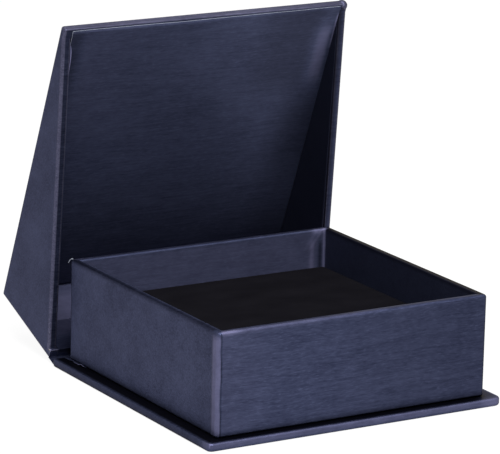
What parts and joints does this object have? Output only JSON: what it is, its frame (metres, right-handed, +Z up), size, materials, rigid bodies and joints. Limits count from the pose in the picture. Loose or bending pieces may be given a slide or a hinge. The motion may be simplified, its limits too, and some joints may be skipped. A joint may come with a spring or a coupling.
{
  "type": "cufflink display box",
  "caption": "Hinged rigid box for cufflinks: padded tray on a base board, wedge-shaped lid with side gussets, covered in dark navy pearl paper.",
  "frame": {"origin": "centre of the base's underside", "axes": "+Z up, -Y towards the front lip, X along the hinge"},
  "size_m": [0.09, 0.1158, 0.0945],
  "materials": {
    "covering_paper": "satin",
    "lining_paper": "satin",
    "greyboard": "matte",
    "stay_tape": "matte",
    "black_velvet": "matte",
    "pad_foam": "matte",
    "pad_card": "matte"
  },
  "bodies": {
    "base": {"base_board": "greyboard", "base_wrap": "covering_paper", "base_hinge_liner": "lining_paper", "tray_floor": "greyboard", "tray_front_wall": "greyboard", "tray_back_wall": "greyboard", "tray_left_wall": "greyboard", "tray_right_wall": "greyboard", "tray_corner_tapes": "stay_tape", "tray_wrap": "covering_paper", "pad_card": "pad_card", "pad_foam": "pad_foam", "pad_cover": "black_velvet"},
    "lid": {"lid_top_board": "greyboard", "lid_back_board": "greyboard", "gusset_left_board": "greyboard", "gusset_right_board": "greyboard", "lid_wrap": "covering_paper", "lid_edge_tapes": "stay_tape", "lid_top_liner": "lining_paper", "lid_back_liner": "lining_paper", "gusset_left_liner": "lining_paper", "gusset_right_liner": "lining_paper", "hinge_cover": "covering_paper", "lid_hinge_liner": "lining_paper"}
  },
  "joints": [
    {"name": "lid_hinge", "type": "hinge", "parent": "base", "child": "lid", "pos_m": [0, 0.0425, 0.0005], "axis": [-1, 0, 0], "range_deg": [-68, 22]}
  ]
}
